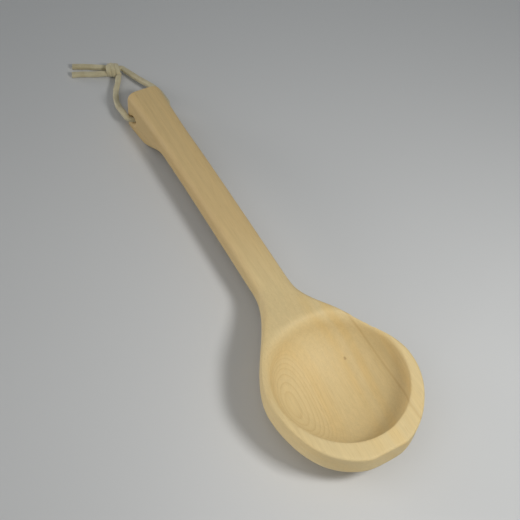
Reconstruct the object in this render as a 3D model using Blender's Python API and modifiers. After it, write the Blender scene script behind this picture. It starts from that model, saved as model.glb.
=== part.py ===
# Wooden sauna ladle with a leather hanging lace.
#
# Bowl and handle are carved from one piece of pale wood. The handle ends in a deep heel,
# on which the ladle stands together with the flat foot of its bowl. A leather lace runs
# through a hole drilled sideways through the heel, and its ends are tied in one knot.
#
# Frame: metres. +X runs from the handle's end to the tip of the bowl, +Z is up, the ladle
# stands on z = 0, and x = y = 0 is the middle of the carved wood.

import math

import bmesh
import bpy
from mathutils import Matrix, Vector

# Whole ladle
LENGTH = 0.360
TABLE = 0.0

# Bowl, outside
BOWL_WIDTH = 0.1014
WIDEST_TO_TIP = 0.056
WIDEST_TO_BACK = 0.056
RIM_HEIGHT = 0.039
WALL_UPRIGHT_FROM = 0.0232
FOOT_WIDTH = 0.052
TIP_FLAT_WIDTH = 0.025
TIP_FACE_BOTTOM = 0.0194
RIM_EDGE_RADIUS = 0.0016

# Bowl, inside
OPENING_WIDTH = 0.0900
OPENING_LENGTH = 0.0925
BOWL_DEPTH = 0.031
FRONT_RIM_WIDTH = 0.0118
HOLLOW_FULLNESS = 2.25
LIP_CHAMFER = 0.0009

# Neck, where the handle widens into the bowl
NECK_LENGTH = 0.089
OUTLINE_SKEW = 0.0045
SKEW_ENDS_BEFORE_TIP = 0.014
NECK_RISE_LENGTH = 0.058
NECK_RISE_INTO_BOWL = 0.012
UNDER_NECK_FILLET = 0.014

# Handle
HANDLE_WIDTH = 0.0256
HANDLE_BOW = 0.0007
HEEL_LEAN = 0.0005
HANDLE_THICKNESS = 0.0170
HANDLE_TOP = 0.0298
HANDLE_TOP_EDGE_RADIUS = 0.0042
HANDLE_UNDER_EDGE_RADIUS = 0.0058

# Heel at the handle's end
HEEL_TOP_WIDTH = 0.0278
HEEL_BOTTOM_WIDTH = 0.0332
HEEL_HEIGHT = 0.0292
HEEL_FOOT_LENGTH = 0.028
HEEL_FILLET_LENGTH = 0.037
HEEL_TAPER_LENGTH = 0.062
HEEL_UNDER_EDGE_RADIUS = 0.0026
HEEL_UNDERCUT = 0.0045
END_CORNER_RADIUS = 0.0030
END_EDGE_RADIUS = 0.0028
FOOT_PLANED_OFF = 0.0008

# Lace and its hole
LACE_DIAMETER = 0.0036
LACE_CLEARANCE = 0.0005
HOLE_FROM_END = 0.0145
HOLE_HEIGHT = 0.0110
HOLE_MOUTH_WIDTH = 0.0094
HOLE_MOUTH_DEPTH = 0.0045
LACE_BEND_RADIUS = 0.0074
LACE_STEP = 0.0040

# Knot, and where each of the four strands leaves it: along and across the knot from its
# centre, and above the table
KNOT_LENGTH = 0.0170
KNOT_WIDTH = 0.0136
KNOT_HEIGHT = 0.0104
KNOT_CENTRE = (-0.2325, -0.0036)
KNOT_TURN = 56.0
KNOT_WRAP_TILT = 32.0
RIGHT_PORT = (0.0056, -0.0046, 0.0052)
RIGHT_PORT_TURN = -33.0
LEFT_PORT = (0.0072, 0.0028, 0.0054)
LEFT_PORT_TURN = 18.0
LEFT_TAIL_PORT = (-0.0056, 0.0037, 0.0036)
RIGHT_TAIL_PORT = (-0.0046, -0.0037, 0.0036)
TAIL_PORT_TURN = 242.0
SOCKET_GAP = 0.0003

# Fineness
RING_TOP_STEPS = 2
RING_CORNER_STEPS = 3
RING_SIDE_STEPS = 3
RING_LOWER_STEPS = 7
HANDLE_STATION_STEP = 0.0070
NECK_STATION_STEP = 0.0045
ROUND_STEPS = 64
HOLE_STEPS = 24
BEND_STEPS = 6
OVERCUT = 0.004

# Places that follow from the sizes
END_X = -LENGTH / 2
TIP_X = LENGTH / 2
BOWL_RADIUS = BOWL_WIDTH / 2
OPENING_RADIUS = OPENING_WIDTH / 2
FRONT_REACH = WIDEST_TO_TIP / math.sqrt(1.0 - (TIP_FLAT_WIDTH / BOWL_WIDTH) ** 2)
KEEL_DEPTH = WALL_UPRIGHT_FROM / math.sqrt(1.0 - (FOOT_WIDTH / BOWL_WIDTH) ** 2)
KEEL_TIP_RISE = (WALL_UPRIGHT_FROM - TIP_FACE_BOTTOM) / KEEL_DEPTH
KEEL_REACH = WIDEST_TO_TIP / math.sqrt(1.0 - KEEL_TIP_RISE**2)
BOWL_X = TIP_X - WIDEST_TO_TIP
OPENING_X = TIP_X - FRONT_RIM_WIDTH - OPENING_LENGTH / 2
NECK_X = BOWL_X - NECK_LENGTH
NECK_RISE_X = OPENING_X - OPENING_LENGTH / 2 + NECK_RISE_INTO_BOWL - NECK_RISE_LENGTH
HOLE_X = END_X + HOLE_FROM_END
HOLE_Z = TABLE + HOLE_HEIGHT
HOLE_RADIUS = LACE_DIAMETER / 2 + LACE_CLEARANCE
HOLE_SHARE = 1.0 - HOLE_HEIGHT / HEEL_HEIGHT
HOLE_SIDE = (HEEL_TOP_WIDTH + (HEEL_BOTTOM_WIDTH - HEEL_TOP_WIDTH) * HOLE_SHARE) / 2
KNOT_Z = TABLE + KNOT_HEIGHT / 2

# The lace's way from the knot along each side of the heel, chosen by hand. From its last
# point a quarter turn leads into the hole.
RIGHT_STRAND = (
    (-0.2142, -0.0084, 0.0053),
    (-0.2090, -0.0117, 0.0056),
    (-0.2034, -0.0144, 0.0060),
    (-0.1976, -0.0166, 0.0067),
    (-0.1916, -0.0181, 0.0075),
    (-0.1855, -0.0188, 0.0087),
    (-0.1794, -0.0189, 0.0102),
)
LEFT_STRAND = (
    (-0.2179, 0.0083, 0.0061),
    (-0.2117, 0.0104, 0.0068),
    (-0.2055, 0.0127, 0.0076),
    (-0.1994, 0.0150, 0.0084),
    (-0.1930, 0.0169, 0.0092),
    (-0.1865, 0.0179, 0.0100),
    (-0.1799, 0.0180, 0.0107),
)

# The two cut ends lie down on the surface beside the knot.
LEFT_TAIL = (
    (-0.2459, -0.0166, 0.0023),
    (-0.2490, -0.0217, 0.0019),
    (-0.2517, -0.0269, 0.0019),
    (-0.2544, -0.0327, 0.0019),
)
RIGHT_TAIL = (
    (-0.2381, -0.0207, 0.0023),
    (-0.2406, -0.0256, 0.0019),
    (-0.2428, -0.0306, 0.0019),
    (-0.2451, -0.0369, 0.0019),
)

WOOD = (0.66, 0.50, 0.27, 1.0)
LEATHER = (0.62, 0.46, 0.27, 1.0)


def clear_scene():
    """Start from an empty file, whatever was open."""
    for item in list(bpy.data.objects):
        bpy.data.objects.remove(item, do_unlink=True)
    for group in list(bpy.data.collections):
        bpy.data.collections.remove(group)


def new_collection(name):
    group = bpy.data.collections.new(name)
    bpy.context.scene.collection.children.link(group)
    return group


def new_material(name, colour, roughness):
    material = bpy.data.materials.new(name)
    material.use_nodes = True
    shader = material.node_tree.nodes["Principled BSDF"]
    shader.inputs["Base Color"].default_value = colour
    shader.inputs["Roughness"].default_value = roughness
    shader.inputs["Metallic"].default_value = 0.0
    material.diffuse_color = colour
    return material


def mesh_object(name, form, group):
    """Turn a bmesh into a named object in the given collection."""
    bmesh.ops.recalc_face_normals(form, faces=form.faces)
    mesh = bpy.data.meshes.new(name)
    form.to_mesh(mesh)
    form.free()
    item = bpy.data.objects.new(name, mesh)
    group.objects.link(item)
    return item


def hide_cutter(cutter):
    cutter.hide_render = True
    cutter.display_type = "WIRE"


def cut(item, cutter, operation="DIFFERENCE"):
    """Apply one exact Boolean to an object's mesh."""
    step = item.modifiers.new(cutter.name, "BOOLEAN")
    step.operation = operation
    step.solver = "EXACT"
    step.object = cutter
    bpy.context.view_layer.update()
    evaluated = item.evaluated_get(bpy.context.evaluated_depsgraph_get())
    mesh = bpy.data.meshes.new_from_object(evaluated)
    item.modifiers.clear()
    old = item.data
    item.data = mesh
    mesh.name = item.name
    bpy.data.meshes.remove(old)


def shade(item, material, sharp_angle=35.0):
    item.data.materials.clear()
    item.data.materials.append(material)
    item.data.shade_smooth()
    item.data.set_sharp_from_angle(angle=math.radians(sharp_angle))


def turned(name, profile, steps, group):
    """A turned solid: the profile is (radius, height) pairs, from its top down its outer side."""
    form = bmesh.new()
    points = [form.verts.new((radius, 0.0, height)) for radius, height in profile]
    for upper, lower in zip(points, points[1:]):
        form.edges.new((upper, lower))
    mesh = bpy.data.meshes.new(name)
    form.to_mesh(mesh)
    form.free()
    item = bpy.data.objects.new(name, mesh)
    group.objects.link(item)
    screw = item.modifiers.new("turn", "SCREW")
    screw.axis = "Z"
    screw.angle = math.radians(360.0)
    screw.steps = steps
    screw.render_steps = steps
    screw.use_merge_vertices = True
    screw.merge_threshold = 0.00001
    return item


def ease(share):
    """A smooth step from 0 to 1."""
    share = min(max(share, 0.0), 1.0)
    return share * share * (3.0 - 2.0 * share)


def between(first, last, share):
    return first + (last - first) * ease(share)


def smooth_least(first, second, reach):
    """The lower of two heights, with a fillet where they cross."""
    overlap = max(reach - abs(first - second), 0.0) / reach
    return min(first, second) - overlap * overlap * reach / 4.0


def quarter_round(distance, radius):
    """How far a rounded edge has fallen back at this distance in from the end."""
    if distance >= radius:
        return 0.0
    return radius - math.sqrt(radius**2 - (radius - distance) ** 2)


def half_width(x, side=0):
    """The plan outline's distance from the middle at a station, on the left (1) or right (-1).

    The carved bowl isn't quite even: its right side is widest a little nearer to the handle."""
    if x > END_X + HEEL_TAPER_LENGTH + OUTLINE_SKEW:
        skew_end = TIP_X - SKEW_ENDS_BEFORE_TIP
        x -= side * between(OUTLINE_SKEW, 0.0, (x - BOWL_X) / (skew_end - BOWL_X))
    if x >= BOWL_X:
        return BOWL_RADIUS * math.sqrt(1.0 - ((x - BOWL_X) / FRONT_REACH) ** 2)
    taper = (x - END_X) / HEEL_TAPER_LENGTH
    handle = between(HEEL_TOP_WIDTH, HANDLE_WIDTH, taper) / 2
    handle -= quarter_round(x - END_X, END_CORNER_RADIUS)
    return between(handle, BOWL_RADIUS, (x - NECK_X) / NECK_LENGTH)


def middle_line(x):
    """How far the middle of the wood lies to the left: the handle isn't carved quite straight."""
    handle_middle = (END_X + NECK_X) / 2
    if x < handle_middle:
        return between(-HEEL_LEAN, HANDLE_BOW, (x - END_X) / (handle_middle - END_X))
    return between(HANDLE_BOW, 0.0, (x - handle_middle) / (BOWL_X - handle_middle))


def top_height(x):
    """Height of the upper face at a station."""
    handle = between(HEEL_HEIGHT, HANDLE_TOP, (x - END_X) / (NECK_X - END_X))
    handle -= quarter_round(x - END_X, END_EDGE_RADIUS)
    return TABLE + between(handle, RIM_HEIGHT, (x - NECK_RISE_X) / NECK_RISE_LENGTH)


def bowl_keel(x):
    """Lowest line of the bowl's outside, a half ellipse that the foot is planed from."""
    half_length = KEEL_REACH if x > BOWL_X else WIDEST_TO_BACK
    reach = max(1.0 - ((x - BOWL_X) / half_length) ** 2, 0.0)
    return TABLE + WALL_UPRIGHT_FROM - KEEL_DEPTH * math.sqrt(reach)


def bottom_height(x):
    """Height of the underside's middle line at a station, before the feet are planed flat."""
    under_handle = HANDLE_TOP - HANDLE_THICKNESS
    heel_end = END_X + HEEL_FOOT_LENGTH
    handle = between(-FOOT_PLANED_OFF, under_handle, (x - heel_end) / HEEL_FILLET_LENGTH)
    handle += quarter_round(x - END_X, END_EDGE_RADIUS)
    if x >= BOWL_X:
        return bowl_keel(x)
    return smooth_least(TABLE + handle, bowl_keel(x), UNDER_NECK_FILLET)


def half_ring(x, side):
    """One side of a cross-section, from the middle of its top round to the middle of its underside."""
    width = half_width(x, side)
    top = top_height(x)
    bottom = bottom_height(x)
    bowl_share = ease((x - NECK_X) / (NECK_LENGTH - WIDEST_TO_BACK / 2))
    corner = HANDLE_TOP_EDGE_RADIUS + (RIM_EDGE_RADIUS - HANDLE_TOP_EDGE_RADIUS) * bowl_share
    past_heel = (x - END_X - HEEL_FOOT_LENGTH) / HEEL_FILLET_LENGTH
    handle_curve = between(HEEL_UNDER_EDGE_RADIUS, HANDLE_UNDER_EDGE_RADIUS, past_heel)
    bowl_curve = TABLE + WALL_UPRIGHT_FROM - bottom
    curve_height = handle_curve + (bowl_curve - handle_curve) * bowl_share
    curve_height = min(curve_height, top - corner - bottom)
    flat_width = (width - min(handle_curve, width)) * (1.0 - bowl_share)
    half = [((width - corner) * step / RING_TOP_STEPS, top) for step in range(RING_TOP_STEPS)]
    for step in range(RING_CORNER_STEPS + 1):
        angle = math.radians(90.0 * (1.0 - step / RING_CORNER_STEPS))
        half.append((width - corner + corner * math.cos(angle), top - corner + corner * math.sin(angle)))
    wall = top - corner - bottom - curve_height
    for step in range(1, RING_SIDE_STEPS):
        half.append((width, top - corner - wall * step / RING_SIDE_STEPS))
    for step in range(RING_LOWER_STEPS + 1):
        angle = math.radians(90.0 * step / RING_LOWER_STEPS)
        y = flat_width + (width - flat_width) * math.cos(angle)
        half.append((y, bottom + curve_height * (1.0 - math.sin(angle))))
    half.append((0.0, bottom))
    flare = between(HEEL_BOTTOM_WIDTH / HEEL_TOP_WIDTH - 1.0, 0.0, (x - END_X) / HEEL_TAPER_LENGTH)
    return [(side * y * (1.0 + flare * (top - z) / top), z) for y, z in half]


def ring(x):
    """One cross-section of the ladle, as points round it. At the heel it leans in towards the foot."""
    left = half_ring(x, 1)
    right = half_ring(x, -1)
    lean = HEEL_UNDERCUT * (1.0 - ease((x - END_X) / HEEL_FOOT_LENGTH))
    upright_from = HEEL_HEIGHT - END_EDGE_RADIUS
    return [(x + lean * max(1.0 - (z - TABLE) / upright_from, 0.0), y + middle_line(x), z)
            for y, z in left + right[-2:0:-1]]


def spread(first, last, step):
    """Evenly spaced stations from first up to, but not at, last."""
    count = max(round((last - first) / step), 1)
    return [first + (last - first) * index / count for index in range(count)]


def stations():
    """Where along the ladle the cross-sections are taken, closer together on the curves."""
    corner_angles = [math.radians(90.0 * step / 6) for step in range(6)]
    places = [END_X + END_CORNER_RADIUS * (1.0 - math.cos(angle)) for angle in corner_angles]
    places += spread(END_X + END_CORNER_RADIUS, NECK_X, HANDLE_STATION_STEP)
    places += spread(NECK_X, BOWL_X, NECK_STATION_STEP)
    last_angle = math.asin(WIDEST_TO_TIP / FRONT_REACH)
    places += [BOWL_X + FRONT_REACH * math.sin(last_angle * step / 14) for step in range(15)]
    return places


def join_rows(form, rows):
    """Skin closed rows of points, one after another, and close both ends."""
    for row, next_row in zip(rows, rows[1:]):
        for index in range(len(row)):
            after = (index + 1) % len(row)
            form.faces.new((row[index], row[after], next_row[after], next_row[index]))
    form.faces.new(rows[0])
    form.faces.new(rows[-1])


def make_blank(group):
    """The carved outside: cross-sections joined from the handle's end to the bowl's tip."""
    form = bmesh.new()
    rows = []
    for x in stations():
        rows.append([form.verts.new(point) for point in ring(x)])
    join_rows(form, rows)
    bmesh.ops.remove_doubles(form, verts=form.verts, dist=0.000001)
    everything = form.verts[:] + form.edges[:] + form.faces[:]
    bmesh.ops.bisect_plane(form, geom=everything, dist=0.0000001, plane_co=(0.0, 0.0, TABLE),
                           plane_no=(0.0, 0.0, -1.0), clear_outer=True)
    open_edges = [edge for edge in form.edges if edge.is_boundary]
    bmesh.ops.holes_fill(form, edges=open_edges, sides=0)
    return mesh_object("ladle_body", form, group)


def make_hollow_cutter(group):
    """The turned hollow of the bowl, with a small chamfer at its lip."""
    rim = TABLE + RIM_HEIGHT
    profile = [(0.0, rim + OVERCUT)]
    profile.append((OPENING_RADIUS + LIP_CHAMFER + OVERCUT, rim + OVERCUT))
    profile.append((OPENING_RADIUS + LIP_CHAMFER, rim))
    chamfer_angle = math.asin((LIP_CHAMFER / BOWL_DEPTH) ** (HOLLOW_FULLNESS / 2))
    steps = 14
    for step in range(steps):
        angle = chamfer_angle + (math.pi / 2 - chamfer_angle) * step / steps
        radius = OPENING_RADIUS * math.cos(angle) ** (2 / HOLLOW_FULLNESS)
        profile.append((radius, rim - BOWL_DEPTH * math.sin(angle) ** (2 / HOLLOW_FULLNESS)))
    profile.append((0.0, rim - BOWL_DEPTH))
    cutter = turned("hollow_cutter", profile, ROUND_STEPS, group)
    cutter.location = (OPENING_X, 0.0, 0.0)
    cutter.scale = (OPENING_LENGTH / OPENING_WIDTH, 1.0, 1.0)
    hide_cutter(cutter)
    return cutter


def make_hole_cutter(group):
    """The hole through the heel, opened out at both mouths, so that the lace can turn there."""
    far = HOLE_SIDE + OVERCUT
    flare = (HOLE_MOUTH_WIDTH / 2 - HOLE_RADIUS) / HOLE_MOUTH_DEPTH
    profile = [(0.0, far), (HOLE_RADIUS + flare * (HOLE_MOUTH_DEPTH + OVERCUT), far)]
    profile.append((HOLE_RADIUS, HOLE_SIDE - HOLE_MOUTH_DEPTH))
    profile += [(radius, -height) for radius, height in reversed(profile)]
    cutter = turned("hole_cutter", profile, HOLE_STEPS, group)
    cutter.rotation_euler = (math.radians(90.0), 0.0, 0.0)
    cutter.location = (HOLE_X, middle_line(HOLE_X), HOLE_Z)
    hide_cutter(cutter)
    return cutter


def smooth_route(points, step):
    """Even steps along a smooth curve through the points, its ends kept."""
    points = [Vector(point) for point in points]
    padded = [points[0] * 2 - points[1]] + points + [points[-1] * 2 - points[-2]]
    fine = []
    for before, first, second, after in zip(padded, padded[1:], padded[2:], padded[3:]):
        for part in range(16):
            t = part / 16
            fine.append(0.5 * (2 * first + (second - before) * t
                               + (2 * before - 5 * first + 4 * second - after) * t**2
                               + (3 * first - before - 3 * second + after) * t**3))
    fine.append(points[-1])
    lengths = [0.0]
    for first, second in zip(fine, fine[1:]):
        lengths.append(lengths[-1] + (second - first).length)
    count = max(round(lengths[-1] / step), 2)
    route = []
    place = 0
    for index in range(count + 1):
        target = lengths[-1] * index / count
        while place < len(fine) - 2 and lengths[place + 1] < target:
            place += 1
        share = (target - lengths[place]) / (lengths[place + 1] - lengths[place])
        route.append(fine[place].lerp(fine[place + 1], share))
    return route


def make_tube(name, route, group, pivot):
    """A length of lace along a route, with closed ends."""
    curve = bpy.data.curves.new(name, "CURVE")
    curve.dimensions = "3D"
    curve.bevel_depth = LACE_DIAMETER / 2
    curve.bevel_resolution = 2
    curve.use_fill_caps = True
    spline = curve.splines.new("POLY")
    spline.points.add(len(route) - 1)
    for point, place in zip(spline.points, route):
        point.co = (*(place - pivot.location), 1.0)
    item = bpy.data.objects.new(name, curve)
    group.objects.link(item)
    item.parent = pivot
    return item


def knot_port(port, turn):
    """Where a strand meets the knot: its end point and the point straight out from it."""
    along, across, height = port
    place = Matrix.Rotation(math.radians(KNOT_TURN), 3, "Z") @ Vector((along, across, TABLE + height))
    end = place + Vector((*KNOT_CENTRE, 0.0))
    outward = Matrix.Rotation(math.radians(turn), 3, "Z") @ Vector((1.0, 0.0, 0.0))
    return [end, end + outward * LACE_DIAMETER]


def mouth_bend(side):
    """The quarter turn from beside the heel into the hole, on the left (1) or right (-1)."""
    mouth = HOLE_SIDE - HOLE_MOUTH_DEPTH
    middle = middle_line(HOLE_X)
    points = []
    for step in range(BEND_STEPS + 1):
        angle = math.radians(90.0 * step / BEND_STEPS)
        x = HOLE_X - LACE_BEND_RADIUS * (1.0 - math.sin(angle))
        points.append((x, middle + side * (mouth + LACE_BEND_RADIUS * math.cos(angle)), HOLE_Z))
    points.append((HOLE_X, middle + side * mouth / 2, HOLE_Z))
    return points


def make_lace(group, pivot):
    """The loop through the hole and the two cut ends, each from its own place on the knot."""
    right = [*knot_port(RIGHT_PORT, RIGHT_PORT_TURN), *RIGHT_STRAND, *mouth_bend(-1)]
    left = [*knot_port(LEFT_PORT, LEFT_PORT_TURN), *LEFT_STRAND, *mouth_bend(1)]
    loop = smooth_route(right + left[::-1], LACE_STEP)
    pieces = [make_tube("lace_loop", loop, group, pivot)]
    tails = (("lace_tail_left", LEFT_TAIL_PORT, LEFT_TAIL),
             ("lace_tail_right", RIGHT_TAIL_PORT, RIGHT_TAIL))
    for name, port, route in tails:
        tail = smooth_route([*knot_port(port, TAIL_PORT_TURN), *route], LACE_STEP)
        pieces.append(make_tube(name, tail, group, pivot))
    return pieces


def placed(form, size, turn, centre):
    """Stretch a form to a size, turn it about the vertical and move it to its place."""
    bmesh.ops.scale(form, vec=size, verts=form.verts)
    bmesh.ops.rotate(form, cent=(0.0, 0.0, 0.0), matrix=Matrix.Rotation(math.radians(turn), 3, "Z"),
                     verts=form.verts)
    bmesh.ops.translate(form, vec=centre, verts=form.verts)
    return form


def make_wrap(name, tilt, group):
    """One turn of lace round the knot: a ring about the knot's long axis, tilted across it."""
    thick = LACE_DIAMETER / 2
    across = KNOT_WIDTH / 2 - thick
    upright = KNOT_HEIGHT / 2 - thick
    bpy.ops.mesh.primitive_torus_add(major_segments=28, minor_segments=10, major_radius=across,
                                     minor_radius=thick, rotation=(0.0, math.radians(90.0), 0.0))
    item = bpy.context.object
    item.name = name
    form = bmesh.new()
    form.from_mesh(item.data)
    form.transform(item.matrix_world)
    bpy.data.objects.remove(item, do_unlink=True)
    size = (1.0, 1.0, (upright + thick) / (across + thick))
    placed(form, size, KNOT_TURN + tilt, (*KNOT_CENTRE, KNOT_Z))
    wrap = mesh_object(name, form, group)
    hide_cutter(wrap)
    return wrap


def make_socket_cutter(name, port, turn, group):
    """A round rod along a strand, a little thicker than it, that clears its way into the knot."""
    end, further = knot_port(port, turn)
    outward = (further - end).normalized()
    radius = LACE_DIAMETER / 2 + SOCKET_GAP
    form = bmesh.new()
    bmesh.ops.create_cone(form, cap_ends=True, segments=HOLE_STEPS, radius1=radius, radius2=radius,
                          depth=KNOT_LENGTH)
    form.transform(outward.to_track_quat("Z", "Y").to_matrix().to_4x4())
    bmesh.ops.translate(form, vec=end + outward * (KNOT_LENGTH / 2 - SOCKET_GAP), verts=form.verts)
    cutter = mesh_object(name, form, group)
    hide_cutter(cutter)
    return cutter


def make_knot(group, cutters, pivot):
    """The tied knot: a rounded lump with two crossing turns of lace, and a socket for each strand."""
    form = bmesh.new()
    bmesh.ops.create_uvsphere(form, u_segments=24, v_segments=14, radius=0.5)
    placed(form, (KNOT_LENGTH, KNOT_WIDTH - LACE_DIAMETER / 2, KNOT_HEIGHT - LACE_DIAMETER / 3),
           KNOT_TURN, (*KNOT_CENTRE, KNOT_Z))
    knot = mesh_object("lace_knot", form, group)
    for name, tilt in (("first_turn", KNOT_WRAP_TILT), ("second_turn", -KNOT_WRAP_TILT)):
        cut(knot, make_wrap(name, tilt, cutters), "UNION")
    sockets = (("right_socket", RIGHT_PORT, RIGHT_PORT_TURN), ("left_socket", LEFT_PORT, LEFT_PORT_TURN),
               ("left_tail_socket", LEFT_TAIL_PORT, TAIL_PORT_TURN),
               ("right_tail_socket", RIGHT_TAIL_PORT, TAIL_PORT_TURN))
    for name, port, turn in sockets:
        cut(knot, make_socket_cutter(name, port, turn, cutters))
    knot.parent = pivot
    knot.matrix_parent_inverse = pivot.matrix_world.inverted()
    return knot


def build():
    clear_scene()
    ladle = new_collection("sauna_ladle")
    cutters = new_collection("cutters")
    wood = new_material("carved_wood", WOOD, 0.55)
    leather = new_material("lace_leather", LEATHER, 0.7)
    body = make_blank(ladle)
    cut(body, make_hollow_cutter(cutters))
    cut(body, make_hole_cutter(cutters))
    shade(body, wood)
    pivot = bpy.data.objects.new("lace_pivot", None)
    pivot.location = (HOLE_X, 0.0, HOLE_Z)
    ladle.objects.link(pivot)
    bpy.context.view_layer.update()
    for piece in make_lace(ladle, pivot):
        piece.data.materials.append(leather)
    knot = make_knot(ladle, cutters, pivot)
    shade(knot, leather, 50.0)


build()
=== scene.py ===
import math

import bmesh
import bpy
from mathutils import Euler, Matrix, Vector


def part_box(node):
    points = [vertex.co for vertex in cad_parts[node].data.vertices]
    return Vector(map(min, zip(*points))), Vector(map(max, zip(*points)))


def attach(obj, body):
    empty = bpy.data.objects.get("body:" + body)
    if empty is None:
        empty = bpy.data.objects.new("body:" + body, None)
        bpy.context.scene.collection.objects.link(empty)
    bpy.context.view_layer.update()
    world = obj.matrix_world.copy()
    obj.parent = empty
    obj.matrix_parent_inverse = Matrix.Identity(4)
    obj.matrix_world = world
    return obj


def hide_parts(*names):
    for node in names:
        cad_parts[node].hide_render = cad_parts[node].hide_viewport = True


# Looks of the wooden sauna ladle: one carved piece of pale, bare wood, and a leather hanging
# lace that runs through the heel of the handle and is tied in one knot.
# Metres, +X to the tip of the bowl, +Z up, the ladle stands on z = 0.

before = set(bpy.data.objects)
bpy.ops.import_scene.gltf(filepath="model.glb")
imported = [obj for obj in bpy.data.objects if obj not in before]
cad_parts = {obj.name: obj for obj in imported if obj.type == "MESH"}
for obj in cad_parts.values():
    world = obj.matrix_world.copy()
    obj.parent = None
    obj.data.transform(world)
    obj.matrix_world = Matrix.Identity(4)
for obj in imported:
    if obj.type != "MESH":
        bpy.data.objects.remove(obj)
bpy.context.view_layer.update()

# Camera
CAMERA_PLACE = (0.3219, -0.2069, 0.5484)
CAMERA_TURN = (35.489, -3.515, 60.825)
CAMERA_LENS = 62.4
SENSOR_WIDTH = 36.0

# Lamps: a small one beyond the bowl, a soft one above, a wide low light from the handle's end,
# and a narrow low one on the front of the bowl. The light of the room fills the shadows.
KEY_PLACE = (0.336, 0.151, 0.454)
KEY_AIM_X = -0.040
KEY_SIZE = 0.115
KEY_POWER = 1.70
KEY_COLOUR = (1.0, 0.985, 0.95)
ABOVE_PLACE = (0.100, -0.250, 0.600)
ABOVE_SIZE = 0.50
ABOVE_POWER = 0.68
ABOVE_COLOUR = (1.0, 0.96, 0.91)
SIDE_TOWARDS = (-0.75, -0.65, 0.070)
SIDE_SPREAD = 25.0
SIDE_POWER = 1.45
SIDE_COLOUR = (1.0, 0.96, 0.92)
FRONT_PLACE = (0.430, -0.420, 0.068)
FRONT_AIM = (0.130, -0.025, 0.020)
FRONT_CONE = 26.0
FRONT_SOFTNESS = 0.05
FRONT_POWER = 2.2
FRONT_COLOUR = (1.0, 0.97, 0.94)
ROOM_LIGHT = 0.186
ROOM_COLOUR = (0.87, 0.95, 1.0, 1.0)
SKY_LIGHT = 0.9
FLOOR_HALF_WIDTH = 6.0

# Lace, its hole and its knot. A port is where a strand meets the knot, in the knot's own frame,
# and a port's turn is the strand's direction there, in degrees from +X.
LACE_DIAMETER = 0.0036
LACE_WIDTH = 0.0046
LACE_THICKNESS = 0.0041
LACE_CORNER = 0.0013
LACE_CORNER_STEPS = 4
LACE_SQUEEZED = 0.76
LACE_UNEVEN_WIDTH = 0.035
LACE_UNEVEN_THICKNESS = 0.03
LACE_RIPPLE = 0.02
LACE_ROLL = 7.0
LACE_SHARP_ANGLE = 50.0
LACE_FINE_STEP = 0.0006
CURVE_PARTS = 16
CUT_RIM_WIDTH = 0.00025
CUT_RIM_RISE = 0.00012
TAIL_LOWEST = LACE_THICKNESS * 0.55
HOLE_RADIUS = 0.0023
HOLE_FROM_END = 0.0145
HOLE_Z = 0.0110
HOLE_MOUTH_WIDTH = 0.0094
HOLE_MOUTH_DEPTH = 0.0045
LACE_BEND_RADIUS = 0.0074
BEND_STEPS = 6
KNOT_CENTRE = (-0.2325, -0.0036)
KNOT_TURN = 56.0
RIGHT_PORT = (0.0056, -0.0046, 0.0052)
RIGHT_PORT_TURN = -33.0
LEFT_PORT = (0.0072, 0.0028, 0.0054)
LEFT_PORT_TURN = 18.0
LEFT_TAIL_PORT = (-0.0056, 0.0037, 0.0036)
RIGHT_TAIL_PORT = (-0.0046, -0.0037, 0.0036)
TAIL_PORT_TURN = 242.0

# The knot: the right strand turns round the left one and leaves as the left end
KNOT_TURNS = 2.25
KNOT_TURN_WIDTH = 0.0038
KNOT_TURN_LEAN = 0.25
KNOT_TURNS_START = 0.0038
KNOT_HALF_WIDTH = 0.0049
KNOT_HALF_HEIGHT = 0.0034
KNOT_MIDDLE_HEIGHT = 0.0052
KNOT_SQUEEZED = 0.87
KNOT_EASE = 0.0060
KNOT_OVERLAP = 0.0015
KNOT_TURN_STEPS = 10
KNOT_TURNS_END = (
    (-0.0043, 0.0024, 0.0074),
    (-0.0047, 0.0037, 0.0056),
)
KNOT_CORE = (
    (0.0052, 0.0030, 0.0054),
    (0.0026, 0.0017, 0.0052),
    (0.0, 0.0009, 0.0052),
    (-0.0024, -0.0012, 0.0050),
)
KNOT_FILLING = (
    (0.0046, -0.0019, 0.0050),
    (0.0020, -0.0019, 0.0050),
    (-0.0006, -0.0018, 0.0050),
    (-0.0026, 0.0014, 0.0050),
)

# The lace's way from the knot along each side of the heel, and its two cut ends
RIGHT_STRAND = (
    (-0.2142, -0.0084, 0.0053),
    (-0.2090, -0.0117, 0.0056),
    (-0.2034, -0.0144, 0.0060),
    (-0.1976, -0.0166, 0.0067),
    (-0.1916, -0.0181, 0.0075),
    (-0.1855, -0.0188, 0.0087),
    (-0.1794, -0.0189, 0.0102),
)
LEFT_STRAND = (
    (-0.2179, 0.0083, 0.0061),
    (-0.2117, 0.0104, 0.0068),
    (-0.2055, 0.0127, 0.0076),
    (-0.1994, 0.0150, 0.0084),
    (-0.1930, 0.0169, 0.0092),
    (-0.1865, 0.0179, 0.0100),
    (-0.1799, 0.0180, 0.0107),
)
LEFT_TAIL = (
    (-0.2459, -0.0166, 0.0023),
    (-0.2490, -0.0217, 0.0019),
    (-0.2517, -0.0269, 0.0019),
    (-0.2544, -0.0327, 0.0019),
)
RIGHT_TAIL = (
    (-0.2381, -0.0207, 0.0023),
    (-0.2406, -0.0256, 0.0019),
    (-0.2428, -0.0306, 0.0019),
    (-0.2451, -0.0369, 0.0019),
)

# Bowl, outside
BOWL_WIDTH = 0.1014
WIDEST_TO_TIP = 0.056
WIDEST_TO_BACK = 0.056
WALL_UPRIGHT_FROM = 0.0232
FOOT_WIDTH = 0.052
TIP_FLAT_WIDTH = 0.025
TIP_FACE_BOTTOM = 0.0194
RIM_EDGE_RADIUS = 0.0016

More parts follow.
